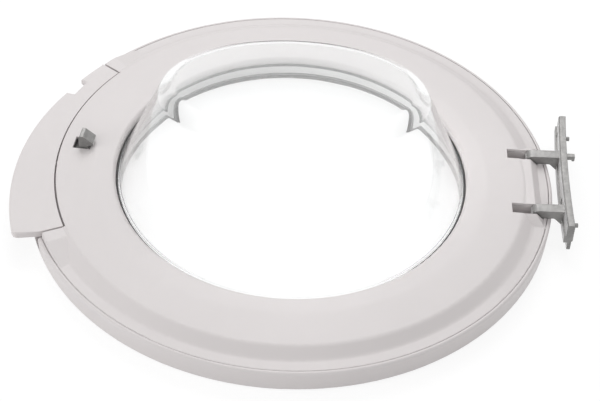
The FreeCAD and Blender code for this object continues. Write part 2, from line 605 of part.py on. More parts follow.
def latch_hook():
    """A claw on the pivot pin: an eye, a stem up through the ring and a sloped nose towards the bore."""
    half = 0.5 * HOOK_WIDTH
    claw = plate_across_y([
        (PIVOT_RADIUS, PIVOT_HEIGHT - HOOK_EYE_RADIUS, 0),
        (HOOK_STEM_INNER + HOOK_HEEL_DEPTH, PIVOT_HEIGHT - HOOK_EYE_RADIUS, HOOK_HEEL_ROUND),
        (HOOK_STEM_INNER, PIVOT_HEIGHT, HOOK_HEEL_ROUND),
        (HOOK_STEM_INNER, HOOK_NOSE_HEIGHT - HOOK_NOSE_UNDERCUT, HOOK_EDGE_ROUND),
        (HOOK_TIP, HOOK_NOSE_HEIGHT, HOOK_EDGE_ROUND),
        (HOOK_TIP, HOOK_NOSE_HEIGHT + HOOK_NOSE_THICKNESS, HOOK_EDGE_ROUND),
        (HOOK_STEM_OUTER - HOOK_TOP_DEPTH, HOOK_TOP_HEIGHT, HOOK_EDGE_ROUND),
        (HOOK_STEM_OUTER - HOOK_TOP_CHAMFER, HOOK_TOP_HEIGHT, HOOK_EDGE_ROUND),
        (HOOK_STEM_OUTER, HOOK_TOP_HEIGHT - HOOK_TOP_CHAMFER_DROP, HOOK_EDGE_ROUND),
        (HOOK_STEM_OUTER, PIVOT_HEIGHT + HOOK_ELBOW_HEIGHT, HOOK_ELBOW_ROUND),
        (PIVOT_RADIUS, PIVOT_HEIGHT + HOOK_EYE_RADIUS, 0),
    ], -half, half)
    eye = rod_along_y(HOOK_EYE_RADIUS, PIVOT_RADIUS, PIVOT_HEIGHT, -half, half)
    bore = rod_along_y(PIVOT_PIN_RADIUS + PIVOT_RUNNING_GAP, PIVOT_RADIUS, PIVOT_HEIGHT, -half - OVERRUN,
                       half + OVERRUN)
    return to_handle(claw.fuse(eye).cut(bore).removeSplitter())


def hinge_arm(y):
    """A swan-neck arm: a knuckle on the pin, a neck up through the slot and a run out to the plate."""
    half = 0.5 * HINGE_ARM_WIDTH
    knuckle = rod_along_y(HINGE_KNUCKLE_RADIUS, HINGE_PIVOT_X, HINGE_PIVOT_HEIGHT, y - half, y + half)
    neck_outer = HINGE_PIVOT_X + HINGE_KNUCKLE_RADIUS - HINGE_NECK_TAPER
    gusset_foot = HINGE_ARM_BOTTOM - HINGE_GUSSET_ROUND
    neck = plate_across_y([
        (HINGE_PIVOT_X - HINGE_KNUCKLE_RADIUS, HINGE_PIVOT_HEIGHT, 0),
        (HINGE_PIVOT_X - HINGE_KNUCKLE_RADIUS, HINGE_ARM_TOP, HINGE_NECK_ROUND),
        (HINGE_PLATE_X + OVERRUN, HINGE_ARM_TOP, 0),
        (HINGE_PLATE_X + OVERRUN, gusset_foot, 0),
        (HINGE_PLATE_X, gusset_foot, 0),
        (HINGE_PLATE_X, HINGE_ARM_BOTTOM, HINGE_GUSSET_ROUND),
        (neck_outer, HINGE_ARM_BOTTOM, HINGE_NECK_INNER_ROUND),
        (neck_outer, HINGE_PIVOT_HEIGHT, 0),
    ], y - half, y + half)
    arm = knuckle.fuse(neck)
    for side in (-1, 1):
        corner = FreeCAD.Vector(HINGE_PLATE_X, y + side * half, HINGE_ARM_BOTTOM)
        along = FreeCAD.Vector(-HINGE_CORNER_ROUND, 0, 0)
        across = FreeCAD.Vector(0, side * HINGE_CORNER_ROUND, 0)
        middle = corner + (along + across) * (1 - math.sqrt(0.5))
        web = Part.Wire([
            Part.LineSegment(corner + across, corner).toShape(),
            Part.LineSegment(corner, corner + along).toShape(),
            Part.Arc(corner + along, middle, corner + across).toShape(),
        ])
        arm = arm.fuse(Part.Face(web).extrude(AXIS * HINGE_ARM_DEPTH))
    return arm


def hinge_plate():
    """A bar with a rounded top, a narrower strip along its foot and a stiffening flange inside."""
    strip_top = HINGE_PLATE_BOTTOM + HINGE_STRIP_HEIGHT
    strip_x = HINGE_PLATE_OUTER_X - HINGE_STRIP_THICKNESS
    flange_x = HINGE_PLATE_X - HINGE_FLANGE_REACH
    flange_top = strip_top + HINGE_FLANGE_THICKNESS
    return plate_across_y([
        (HINGE_PLATE_X, HINGE_PLATE_TOP, HINGE_PLATE_TOP_ROUND),
        (HINGE_PLATE_OUTER_X, HINGE_PLATE_TOP, HINGE_PLATE_EDGE_ROUND),
        (HINGE_PLATE_OUTER_X, HINGE_PLATE_BOTTOM, HINGE_PLATE_EDGE_ROUND),
        (strip_x, HINGE_PLATE_BOTTOM, HINGE_PLATE_EDGE_ROUND),
        (strip_x, strip_top, 0),
        (flange_x, strip_top, HINGE_PLATE_EDGE_ROUND),
        (flange_x, flange_top, HINGE_PLATE_EDGE_ROUND),
        (HINGE_PLATE_X, flange_top, HINGE_FLANGE_FILLET),
    ], HINGE_PLATE_NEAR_Y, HINGE_PLATE_FAR_Y)


def hinge_claw():
    """A small hooked claw on the outer face of the plate."""
    half = 0.5 * HINGE_CLAW_WIDTH
    middle_y = HINGE_PLATE_MID_Y + HINGE_CLAW_OFFSET
    top = HINGE_PLATE_TOP - HINGE_CLAW_DEPTH + half
    bottom = top - HINGE_CLAW_WIDTH
    root_x = HINGE_PLATE_OUTER_X - OVERRUN
    end_x = HINGE_PLATE_OUTER_X + HINGE_CLAW_REACH
    return plate_across_y([
        (root_x, top, 0),
        (end_x, top, HINGE_CLAW_ROUND),
        (end_x, bottom - HINGE_CLAW_DROP, HINGE_CLAW_ROUND),
        (end_x - HINGE_CLAW_TIP, bottom - HINGE_CLAW_DROP, HINGE_CLAW_ROUND),
        (end_x - HINGE_CLAW_TIP, bottom, HINGE_CLAW_ROUND),
        (root_x, bottom, 0),
    ], middle_y - half, middle_y + half)


def hinge_casting():
    casting = hinge_plate().fuse(hinge_claw())
    root_x = HINGE_PLATE_OUTER_X - OVERRUN
    for y in HINGE_ARM_YS:
        reach = 0.5 * HINGE_ARM_WIDTH + OVERRUN
        bore = rod_along_y(HINGE_BUSH_RADIUS, HINGE_PIVOT_X, HINGE_PIVOT_HEIGHT, y - reach, y + reach)
        casting = casting.fuse(hinge_arm(y)).cut(bore)
    for y in HINGE_PEG_YS:
        casting = casting.fuse(rod_along_x(HINGE_PEG_RADIUS, y, HINGE_PLATE_TOP - HINGE_PEG_DEPTH, root_x,
                                           HINGE_PLATE_OUTER_X + HINGE_PEG_LENGTH))
    for y in HINGE_HOLE_YS:
        casting = casting.cut(rod_along_x(HINGE_HOLE_RADIUS, y, HINGE_PLATE_TOP - HINGE_HOLE_DEPTH,
                                          HINGE_PLATE_X - OVERRUN, HINGE_PLATE_OUTER_X + OVERRUN))
    return casting.removeSplitter()


def hinge_bush(y):
    half = 0.5 * HINGE_ARM_WIDTH
    bush = rod_along_y(HINGE_BUSH_RADIUS - HINGE_SEAT_GAP, HINGE_PIVOT_X, HINGE_PIVOT_HEIGHT, y - half,
                       y + half)
    return bush.cut(rod_along_y(HINGE_PIN_RADIUS + HINGE_RUNNING_GAP, HINGE_PIVOT_X, HINGE_PIVOT_HEIGHT,
                                y - half - OVERRUN, y + half + OVERRUN))


def hinge_pin(y):
    reach = 0.5 * HINGE_ARM_WIDTH + BEARING_SIDE_GAP + BEARING_LUG_THICKNESS
    return rod_along_y(HINGE_PIN_RADIUS, HINGE_PIVOT_X, HINGE_PIVOT_HEIGHT, y - reach, y + reach)


def bearing_cap(y_start, y_end):
    """A cap that closes the pin's half-round seat from below."""
    cap = block((HINGE_PIVOT_X - BEARING_LUG_INNER, y_start, HINGE_PIVOT_HEIGHT - BEARING_CAP_DEPTH),
                (HINGE_PIVOT_X + BEARING_LUG_OUTER, y_end, HINGE_PIVOT_HEIGHT))
    cap = cap.cut(rod_along_y(HINGE_PIN_RADIUS + HINGE_SEAT_GAP, HINGE_PIVOT_X, HINGE_PIVOT_HEIGHT,
                              y_start - OVERRUN, y_end + OVERRUN))
    return cap.cut(bearing_screw_shank(0.5 * (y_start + y_end), SCREW_RADIUS + HINGE_SEAT_GAP))


def bearing_screws():
    """A pan-head screw for each bearing cap."""
    screws = []
    foot = HINGE_PIVOT_HEIGHT - BEARING_CAP_DEPTH - SCREW_HEAD_HEIGHT
    for y_start, y_end in bearing_lug_spans():
        y = 0.5 * (y_start + y_end)
        head = Part.makeCylinder(SCREW_HEAD_RADIUS, SCREW_HEAD_HEIGHT,
                                 FreeCAD.Vector(HINGE_PIVOT_X - BEARING_SCREW_OFFSET, y, foot))
        screws.append(bearing_screw_shank(y, SCREW_RADIUS).fuse(head).removeSplitter())
    return Part.makeCompound(screws)


def all_parts():
    parts = {
        "outer_ring": outer_ring(),
        "inner_ring": inner_ring(),
        "glass_bowl": glass_bowl(),
        "glass_seal": glass_seal(),
        "handle_lever": handle_lever(),
        "handle_pin": handle_pin(),
        "handle_spring": coil(1),
        "hook_spring": coil(-1),
        "latch_hook": latch_hook(),
        "hinge_casting": hinge_casting(),
        "bearing_screws": bearing_screws(),
    }
    for name, y in zip(("far", "near"), HINGE_ARM_YS):
        parts["hinge_bush_" + name] = hinge_bush(y)
        parts["hinge_pin_" + name] = hinge_pin(y)
    for number, (y_start, y_end) in enumerate(bearing_lug_spans(), 1):
        parts["bearing_cap_" + str(number)] = bearing_cap(y_start, y_end)
    return parts


def main():
    os.makedirs("parts", exist_ok=True)
    for name, shape in all_parts().items():
        print(name, len(shape.Solids), "solids, valid", shape.isValid(), "volume", round(shape.Volume, 1))
        shape.exportStep(os.path.join("parts", name + ".step"))


main()
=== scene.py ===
import math

import bmesh
import bpy
import numpy as np
from bpy.props import FloatProperty, FloatVectorProperty, IntProperty, PointerProperty
from mathutils import Matrix, Vector


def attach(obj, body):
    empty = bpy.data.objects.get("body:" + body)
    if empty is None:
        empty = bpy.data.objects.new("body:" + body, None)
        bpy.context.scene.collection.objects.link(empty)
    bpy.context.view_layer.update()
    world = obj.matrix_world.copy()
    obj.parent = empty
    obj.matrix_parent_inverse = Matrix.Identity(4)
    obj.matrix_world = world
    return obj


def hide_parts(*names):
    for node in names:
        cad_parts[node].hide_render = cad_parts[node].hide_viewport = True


bl_info = {
    "name": "Washing Machine Door",
    "version": (1, 0, 0),
    "blender": (4, 5, 0),
    "location": "3D View > Sidebar > Door",
    "description": "Dresses the packed porthole door: glass bowl, plastic rings, hinge castings and studio stage",
    "category": "Object",
}

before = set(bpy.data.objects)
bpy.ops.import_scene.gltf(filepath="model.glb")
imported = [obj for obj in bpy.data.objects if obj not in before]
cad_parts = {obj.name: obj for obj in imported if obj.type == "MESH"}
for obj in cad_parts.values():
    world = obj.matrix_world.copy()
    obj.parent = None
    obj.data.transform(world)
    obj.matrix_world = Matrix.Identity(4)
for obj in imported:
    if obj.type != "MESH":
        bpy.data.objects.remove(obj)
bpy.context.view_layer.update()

SHELL_NODES = ("outer_ring", "inner_ring")
CAST_NODES = ("latch_hook",)
STEEL_NODES = ("handle_pin", "handle_spring", "hook_spring", "bearing_screws", "hinge_pin_far", "hinge_pin_near")
DARK_NODES = ("hinge_bush_far", "hinge_bush_near", "bearing_cap_1", "bearing_cap_2", "bearing_cap_3",
              "bearing_cap_4")

PICTURE_WIDTH = 600.0   # pixels that the camera's values are given in
PATCH_DEPTH = 0.0012    # how far a raised patch reaches into the ring's wall
PATCH_SINK = 0.00015    # how far a patch runs out below the ring's skin
PAD_DROP = 0.0068       # fall from a pad or a shoulder to the plain rim
RIM_ROUND = 0.0015      # round of the raised rim's outer edge
EDGE_ROUND = 0.0006     # round of the hinge casting's edges
BURY = 0.001            # how far joined parts of the hinge reach into each other


def metres(name, description, default):
    """A length, or a set of lengths."""
    if isinstance(default, tuple):
        return FloatVectorProperty(name=name, description=description, size=len(default), default=default,
                                   unit="LENGTH")
    return FloatProperty(name=name, description=description, default=default, unit="LENGTH")


def degrees(name, description, default):
    """An angle, given in degrees and kept in radians."""
    return FloatProperty(name=name, description=description, default=math.radians(default), subtype="ANGLE")


def colours(name, description, default):
    """A colour in linear red, green and blue."""
    return FloatVectorProperty(name=name, description=description, default=default, subtype="COLOR", size=3, min=0,
                               max=1)


def shares(name, description, default):
    """A share between nothing and all."""
    return FloatProperty(name=name, description=description, default=default, subtype="FACTOR", min=0, max=1)


def watts(name, description, default):
    """The power of a lamp."""
    return FloatProperty(name=name, description=description, default=default, min=0, unit="POWER")


class GlassBowlSizes(bpy.types.PropertyGroup):
    neck_radius: metres("Neck radius", "Outside radius of the bowl at its flange", 0.1516)
    neck_top: metres("Neck top", "Height at which the cone starts", 0.024)
    neck_round: metres("Neck round", "Radius of the bend from neck to cone", 0.008)
    draft: degrees("Draft", "Lean of the cone", 23.5)
    end_height: metres("End height", "Height of the slanted end on the axis", 0.1159)
    end_slant: degrees("End slant", "Slant of the end face, deeper towards -Y", 19.1)
    shoulder: metres("Shoulder", "Round between cone and end face", 0.014)
    wall: metres("Wall", "Thickness of the glass", 0.004)
    flange_width: metres("Flange width", "Reach of the flange beyond the neck", 0.0136)
    flange_foot: metres("Flange foot", "Height of the flange's underside", 0.008)
    sides: IntProperty(name="Sides", description="Steps round the bowl", default=288, min=48)


class GripSizes(bpy.types.PropertyGroup):
    mid_angle: degrees("Middle", "Place of the grip's middle round the door", 173.0)
    end_angle: degrees("End", "Half the sweep of the grip", 30.1)
    inner_radius: metres("Inner radius", "Radius of the edge at the seam", 0.2069)
    flush_radius: metres("Flush radius", "Radius of the edge at the upper end", 0.2268)
    bulge_angle: degrees("Bulge start", "Where the edge leaves the rim", -16.8)
    bulge_radii: metres("Bulge", "Radius at the start, the middle and the tip", (0.2296, 0.2403, 0.25))
    tip_angle: degrees("Tip", "Place of the tip, from the middle", 28.9)
    tip_round: metres("Tip round", "Round of the tip in plan", 0.005)
    heel_radius: metres("Heel radius", "Where the lower end leaves the rim", 0.228)
    notch_angles: FloatVectorProperty(name="Notch", description="Start and end of the notch, from the middle", size=2,
                                      default=(math.radians(-22.7), math.radians(-17.2)), subtype="NONE")
    notch_radius: metres("Notch floor", "Radius of the floor of the notch", 0.2222)
    top: metres("Top", "Height of the flat top", 0.0271)
    thickness: metres("Thickness", "Thickness of the lip", 0.006)
    show_round: metres("Show edge", "Round of the outer edge", 0.0018)
    seam_round: metres("Seam edge", "Round of the edge at the seam", 0.0003)
    pivot: metres("Pivot", "Radius and height of the pivot pin", (0.198, 0.016))


class PadSizes(bpy.types.PropertyGroup):
    shoulder_flat: degrees("Shoulder", "Sweep of the raised rim beside the grip", 3.0)
    shoulder_fall: degrees("Shoulder fall", "Sweep of the ramp down to the rim", 9.0)
    rim_height: metres("Rim height", "Height of the plain rim", 0.0212)
    rim_radius: metres("Rim radius", "Outer edge of the raised rim", 0.2262)
    hinge_height: metres("Hinge pad", "Height of the pad round the hinge slots", 0.0279)
    hinge_edge: metres("Hinge pad edge", "X of the straight edge of the pad", 0.2125)
    hinge_slope: metres("Hinge pad slope", "Width of the slope down to the rim", 0.007)
    tray_reach: metres("Slot tray", "X of the start and the end of the slot trays", (0.1914, 0.204))
    tray_heights: metres("Slot tray heights", "Height of the floor and of the walls of the slot trays",
                         (0.0066, 0.0252))
    tray_wall: metres("Slot tray wall", "Wall of the slot trays", 0.0008)
    hinge_strips: metres("Hinge pad strips", "Y of the ends of the three strips beside the slots",
                         (-0.0535, -0.0426, -0.0304, 0.0274, 0.0396, 0.0505))


class HingeSizes(bpy.types.PropertyGroup):
    pivot: metres("Pivot", "X and Z of the hinge pins", (0.213, 0.0115))
    knuckle: metres("Knuckle", "Inner and outer radius of the knuckles", (0.0043, 0.006))
    arm_places: metres("Arms", "Y of the two arms", (-0.0365, 0.0335))
    arm_width: metres("Arm width", "Width of an arm", 0.0094)
    arm_heights: metres("Arm heights", "Underside and top of the arms", (0.0217, 0.0299))
    gusset: metres("Gusset", "Reach and drop of the gusset under an arm", (0.008, 0.008))
    plate_x: metres("Plate", "X of the plate's inner face at its bend", 0.2367)
    plate_thickness: metres("Plate thickness", "Thickness of the plate", 0.0064)
    plate_top: metres("Plate top", "Height of the plate's top", 0.0335)
    plate_bottom: metres("Plate bottom", "Height of the plate's foot", 0.0056)
    plate_ends: metres("Plate ends", "Y of the plate's ends", (-0.0617, 0.0823))
    bend_radius: metres("Bend radius", "Radius that the plate is bent to", 1.35)
    bend_y: metres("Bend middle", "Y where the plate lies square to X", -0.032)
    strip_height: metres("Strip", "Height of the narrower foot", 0.0094)
    flange_heights: metres("Flange", "Underside and top of the inner flange", (0.0135, 0.021))
    peg_places: metres("Pegs", "Y of the two pegs", (-0.056, 0.056))
    hole_places: metres("Holes", "Y of the two screw holes", (-0.02, 0.068))
    hole: metres("Hole", "Radius and height of a screw hole", (0.0025, 0.023))
    peg: metres("Peg", "Radius, length and depth below the top of a peg", (0.002, 0.0032, 0.0045))
    claw_y: metres("Claw", "Y of the claw", 0.033)
    claw_width: metres("Claw width", "Width of the claw", 0.004)
    claw_reach: metres("Claw reach", "Reach of the claw", 0.0075)
    claw_depth: metres("Claw depth", "Depth of the claw's top below the plate's top", 0.0035)


class FinishValues(bpy.types.PropertyGroup):
    shell_colour: colours("Ring plastic", "Warm light grey of the moulded rings", (0.70, 0.664, 0.662))
    shell_roughness: shares("Ring roughness", "Satin of the moulded rings", 0.42)
    cast_colour: colours("Casting", "Grey of the die castings", (0.28, 0.275, 0.27))
    # painted highlight: the bright colour given to the castings' faces towards the porthole, standing in for light
    # from the handle's side
    highlight_colour: colours("Casting highlight", "Painted highlight on the castings' faces towards the porthole", (0.8, 0.8, 0.8))
    cast_roughness: shares("Casting roughness", "Satin of the die castings", 0.45)
    steel_colour: colours("Steel", "Grey of pins, springs and screws", (0.55, 0.55, 0.56))
    dark_colour: colours("Dark plastic", "Near black of bushes and caps", (0.035, 0.035, 0.037))
    # painted shade: the dark colour given to the seal's lip, where the gap between glass and ring lies in shadow
    lip_shade_colour: colours("Seal lip shade", "Painted shade on the seal's lip in the gap", (0.07, 0.07, 0.07))
    seat_colour: colours("Seal seat", "Milky white of the seal's seat", (0.86, 0.85, 0.845))
    shade_line_height: metres("Lip height", "Height where the painted shade on the seal starts", 0.0199)
    glass_colour: colours("Glass", "Tint of the glass", (0.985, 0.99, 0.99))


class StageValues(bpy.types.PropertyGroup):
    floor_colour: colours("Floor", "Colour of the pale floor", (0.86, 0.86, 0.86))
    floor_shadow: shares("Floor shadow", "Share of the shadow that shows on the floor", 0.25)
    ambient: FloatProperty(name="Ambient", description="Strength of the surrounding soft light", default=0.58,
                           min=0)
    overhead: watts("Overhead", "Power of the large lamp above", 27.0)
    side: watts("Side", "Power of the soft lamp on the handle's side", 13.0)
    front: watts("Front", "Power of the soft lamp on the camera's side", 5.0)
    distance: metres("Distance", "Distance of the camera from the porthole's centre", 1.5)
    elevation: degrees("Elevation", "Height angle of the camera", 43.186)
    roll: degrees("Roll", "Turn of the camera about its line of sight", 2.454)
    focal_pixels: FloatProperty(name="Focal length", description="Focal length in pixels of a 600 wide picture",
                                default=1685.498)
    shift: FloatVectorProperty(name="Shift", description="Shift of the picture's centre, in pixels", size=2,
                               default=(-9.691, -7.455))


class DoorSettings(bpy.types.PropertyGroup):
    bowl: PointerProperty(type=GlassBowlSizes)
    grip: PointerProperty(type=GripSizes)
    pads: PointerProperty(type=PadSizes)
    hinge: PointerProperty(type=HingeSizes)
    finish: PointerProperty(type=FinishValues)
    stage: PointerProperty(type=StageValues)


def settings():
    """The values of the door in the open scene."""
    return bpy.context.scene.porthole_door


def arc_points(start, corner, end, radius, steps):
    """Points of the arc that rounds a corner: tangent to both sides at a reach of radius / tan(half angle),
    swept about the centre that lies on the bisector. Works on arrays of corners, one per step round the bowl."""
    back = start - corner
    ahead = end - corner
    back = back / np.linalg.norm(back, axis=-1, keepdims=True)
    ahead = ahead / np.linalg.norm(ahead, axis=-1, keepdims=True)
    half = 0.5 * np.arccos(np.clip((back * ahead).sum(-1, keepdims=True), -1, 1))
    bisector = back + ahead
    bisector = bisector / np.linalg.norm(bisector, axis=-1, keepdims=True)
    centre = corner + bisector * radius / np.sin(half)
    first = corner + back * radius / np.tan(half) - centre
    last = corner + ahead * radius / np.tan(half) - centre
    sweep = np.pi - 2 * half
    share = np.linspace(0, 1, steps)[:, None, None]
    weights = np.sin((1 - share) * sweep) / np.sin(sweep), np.sin(share * sweep) / np.sin(sweep)
    return centre + weights[0] * first + weights[1] * last


def line_points(start, end, steps):
    """Points on a straight run, without its two ends, spaced closer towards the ends by a cosine."""
    share = 0.5 - 0.5 * np.cos(np.pi * np.linspace(0, 1, steps + 2)[1:-1])
    return start + share[:, None, None] * (end - start)


def bowl_skin(sizes, angles, inset):
    """One skin of the bowl as profile points per angle, in radius and height: up the neck, round a bend, along
    the cone R = neck - (z - top) tan(draft), round the shoulder and down the slanted end
    z = end - tan(slant) R sin(angle) to just short of the axis."""
    count = len(angles)
    neck = sizes.neck_radius - inset
    top = sizes.neck_top - inset * math.tan(0.5 * sizes.draft)
    end = sizes.end_height - inset / math.cos(sizes.end_slant)
    lean = math.tan(sizes.draft)
    slope = math.tan(sizes.end_slant) * np.sin(angles)
    meet_radius = (neck - (end - top) * lean) / (1 - slope * lean)
    meet_height = end - slope * meet_radius
    foot = np.stack([np.full(count, neck), np.full(count, sizes.flange_foot)], -1)
    bend = np.stack([np.full(count, neck), np.full(count, top)], -1)
    meet = np.stack([meet_radius, meet_height], -1)
    pole = np.stack([np.full(count, 0.0), np.full(count, end)], -1)
    bent = arc_points(foot, bend, meet, sizes.neck_round - inset, 9)
    shoulder = arc_points(bend, meet, pole, sizes.shoulder, 15)
    cone = line_points(bent[-1], shoulder[0], 14)
    face = line_points(shoulder[-1], pole, 10)
    return np.concatenate([bent, cone, shoulder, face])


def bowl_flange(sizes, count):
    """The flange's outline per angle: from the inside foot out, up its edge and in to the root of the neck."""
    neck, edge = sizes.neck_radius, sizes.neck_radius + sizes.flange_width
    foot, top = sizes.flange_foot, sizes.flange_foot + sizes.wall
    small, root = 0.2 * sizes.wall, 0.5 * sizes.wall

    def corner(radius, height):
        return np.broadcast_to(np.array([radius, height]), (count, 2))

    inside = corner(neck - sizes.wall, foot)
    out = arc_points(inside, corner(edge, foot), corner(edge, top), small, 5)
    over = arc_points(corner(edge, foot), corner(edge, top), corner(neck, top), small, 5)
    up = arc_points(corner(edge, top), corner(neck, top), corner(neck, sizes.neck_top), root, 7)
    flat = line_points(inside, out[0], 4)
    return np.concatenate([inside[None], flat, out, over, line_points(over[-1], up[0], 4), up])


def glass_bowl_mesh(sizes):
    """The closed wall of the bowl: flange, outer skin to the pole on the axis, inner skin from its own pole back
    to the flange. Each profile point is turned about the axis by x = R cos(angle), y = R sin(angle)."""
    angles = np.linspace(0, 2 * np.pi, sizes.sides, endpoint=False)
    outside = np.concatenate([bowl_flange(sizes, len(angles)), bowl_skin(sizes, angles, 0.0)])
    inside = bowl_skin(sizes, angles, sizes.wall)
    rows = np.concatenate([outside, inside])
    radius, height = rows[..., 0], rows[..., 1]
    grid = np.stack([radius * np.cos(angles), radius * np.sin(angles), height], -1)
    poles = np.array([[0, 0, sizes.end_height], [0, 0, sizes.end_height - sizes.wall / math.cos(sizes.end_slant)]])
    sides = len(angles)
    index = np.arange(len(rows) * sides).reshape(len(rows), sides)
    turned = np.roll(index, -1, axis=1)
    split = len(outside)
    quads = [np.stack([index[a:b - 1], turned[a:b - 1], turned[a + 1:b], index[a + 1:b]], -1).reshape(-1, 4)
             for a, b in ((0, split), (split, len(rows)))]
    quads[1] = quads[1][:, ::-1]
    rim = np.stack([index[split], turned[split], turned[0], index[0]], -1)
    top = len(rows) * sides
    caps = [np.stack([index[split - 1], turned[split - 1], np.full(sides, top)], -1),
            np.stack([turned[-1], index[-1], np.full(sides, top + 1)], -1)]
    points = np.concatenate([grid.reshape(-1, 3), poles])
    faces = np.concatenate(quads + [rim]).tolist() + np.concatenate(caps).tolist()
    mesh = bpy.data.meshes.new("glass_bowl_wall")
    mesh.from_pydata(points.tolist(), [], faces)
    mesh.polygons.foreach_set("use_smooth", np.ones(len(mesh.polygons), bool))
    mesh.validate()
    return mesh


def turned_xy(radius, angle):
    """Points in plan from radii and angles about the porthole's axis."""
    return np.stack([radius * np.cos(angle), radius * np.sin(angle)], -1)


def skinned(rings):
    """Points and faces of a closed part from its rings of points: a band between neighbours and a cap on each end."""
    index = np.arange(sum(map(len, rings))).reshape(len(rings), -1)
    ahead = np.roll(index, -1, axis=1)
    quads = np.stack([index[:-1], ahead[:-1], ahead[1:], index[1:]], -1).reshape(-1, 4)
    return np.concatenate(rings), quads.tolist() + [index[0][::-1].tolist(), index[-1].tolist()]


def grip_outline(sizes):
    """The grip in plan, clockwise, and a mark for the points of its show edge. The bulge follows the parabola
    through its three radii, the tip is an arc, and the notch is cut into the straighter upper end."""
    mid, end = sizes.mid_angle, sizes.end_angle
    start, tip = sizes.bulge_angle, sizes.tip_angle
    seam = turned_xy(sizes.inner_radius, mid + np.linspace(-end, end, 61))
    curve = np.polyfit((start, 0.5 * (start + tip), tip), sizes.bulge_radii, 2)
    angles = np.linspace(tip, start, 81)
    bulge = turned_xy(np.polyval(curve, angles), mid + angles)
    heel = turned_xy(sizes.heel_radius, mid + end)
    corner = arc_points(heel[None], bulge[:1], bulge[12:13], sizes.tip_round, 9)[:, 0]
    past = np.linalg.norm(bulge - bulge[0], axis=1) > np.linalg.norm(corner[-1] - bulge[0])
    first, last = sizes.notch_angles
    flush = np.linspace(first, -end, 13)
    share = (flush + end) / (start + end)
    upper = turned_xy(sizes.flush_radius + share * (sizes.bulge_radii[0] - sizes.flush_radius), mid + flush)
    slant = 0.006
    notch = turned_xy(sizes.notch_radius, mid + np.array([last - slant, first + slant]))
    root = turned_xy(np.array([sizes.bulge_radii[0]]), mid + np.array([last]))
    outline = np.concatenate([seam, heel[None], corner, bulge[past], root, notch, upper])
    show = np.ones(len(outline), bool)
    show[:len(seam) + 1] = False
    show[-1] = False
    return outline, show


def rounded_slab(outline, rounds, top, bottom, steps=6):
    """A slab on a clockwise outline. Each point has its own round: rings of points go from the flat top over a
    quarter circle to the side, and over a smaller one to the underside."""
    ahead = np.roll(outline, -1, axis=0) - outline
    ahead = ahead / np.linalg.norm(ahead, axis=1, keepdims=True)
    normal = np.stack([ahead[:, 1], -ahead[:, 0]], -1)
    before = np.roll(normal, 1, axis=0)
    inward = (normal + before) / (1 + (normal * before).sum(1, keepdims=True))
    turns = np.linspace(0, 0.5 * np.pi, steps)
    rings = []
    for size, level, side, sweep in ((rounds, top, -1, turns), (0.4 * rounds, bottom, 1, turns[::-1])):
        for turn in sweep:
            flat = outline + inward * (size * (1 - np.sin(turn)))[:, None]
            rings.append(np.column_stack([flat, level + side * size * (1 - np.cos(turn))]))
    return skinned(rings)


def grip_eyes(sizes):
    """The two eyes that hold the grip on its pin: a lug from the underside, rounded about the pin."""
    pivot, height = sizes.pivot
    radius, place, half_width = 0.005, 0.024, 0.002
    under = sizes.top - 0.5 * sizes.thickness
    eye = np.linspace(0.5 * np.pi, 1.5 * np.pi, 17)
    around = np.column_stack([pivot + radius * np.cos(eye), height + radius * np.sin(eye)])
    lug = np.concatenate([around, [[pivot + 0.016, height - 0.002], [pivot + 0.02, under], [pivot + 0.01, under]]])
    out = np.array([math.cos(sizes.mid_angle), math.sin(sizes.mid_angle)])
    across = np.array([-out[1], out[0]])
    return [skinned([np.column_stack([np.outer(lug[:, 0], out) + (side + step) * across, lug[:, 1]])
                     for step in (-half_width, half_width)]) for side in (-place, place)]


def joined_mesh(name, parts):
    """One mesh from several sets of points and faces, with its normals turned outwards."""
    points, faces, total = [], [], 0
    for part_points, part_faces in parts:
        points.append(part_points)
        faces += [[total + i for i in face] for face in part_faces]
        total += len(part_points)
    mesh = bpy.data.meshes.new(name)
    mesh.from_pydata(np.concatenate(points).tolist(), [], faces)
    mesh.validate()
    shape = bmesh.new()
    shape.from_mesh(mesh)
    bmesh.ops.recalc_face_normals(shape, faces=shape.faces)
    shape.to_mesh(mesh)
    shape.free()
    return mesh


def ring_heights(plan):
    """The height of the inner ring's skin below each point of a plan."""
    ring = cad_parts["inner_ring"]
    view = bpy.context.evaluated_depsgraph_get()
    down = Vector((0, 0, -1))
    flat = plan.reshape(-1, 2)
    heights = [ring.ray_cast(Vector((x, y, 0.1)), down, depsgraph=view)[1].z for x, y in flat]
    return np.maximum(heights, settings().pads.rim_height).reshape(plan.shape[:2])


def raised_patch(plan, target):
    """A thin raised patch on the ring: its top is at the target height where that is above the ring's skin and
    runs out just below the skin elsewhere. Its underside stays inside the ring's wall."""
    skin = ring_heights(plan)
    top = np.maximum(target, skin - PATCH_SINK)
    rows, columns = skin.shape
    count = rows * columns
    points = np.concatenate([np.dstack([plan, level]).reshape(-1, 3) for level in (top, skin - PATCH_DEPTH)])
    index = np.arange(count).reshape(rows, columns)
    cells = np.stack([index[:-1, :-1], index[1:, :-1], index[1:, 1:], index[:-1, 1:]], -1).reshape(-1, 4)
    border = np.concatenate([index[0, :-1], index[:-1, -1], index[-1, :0:-1], index[:0:-1, 0]])
    ahead = np.roll(border, -1)
    walls = np.stack([border, ahead, ahead + count, border + count], -1)
    return points, np.concatenate([cells, cells[:, ::-1] + count, walls]).tolist()


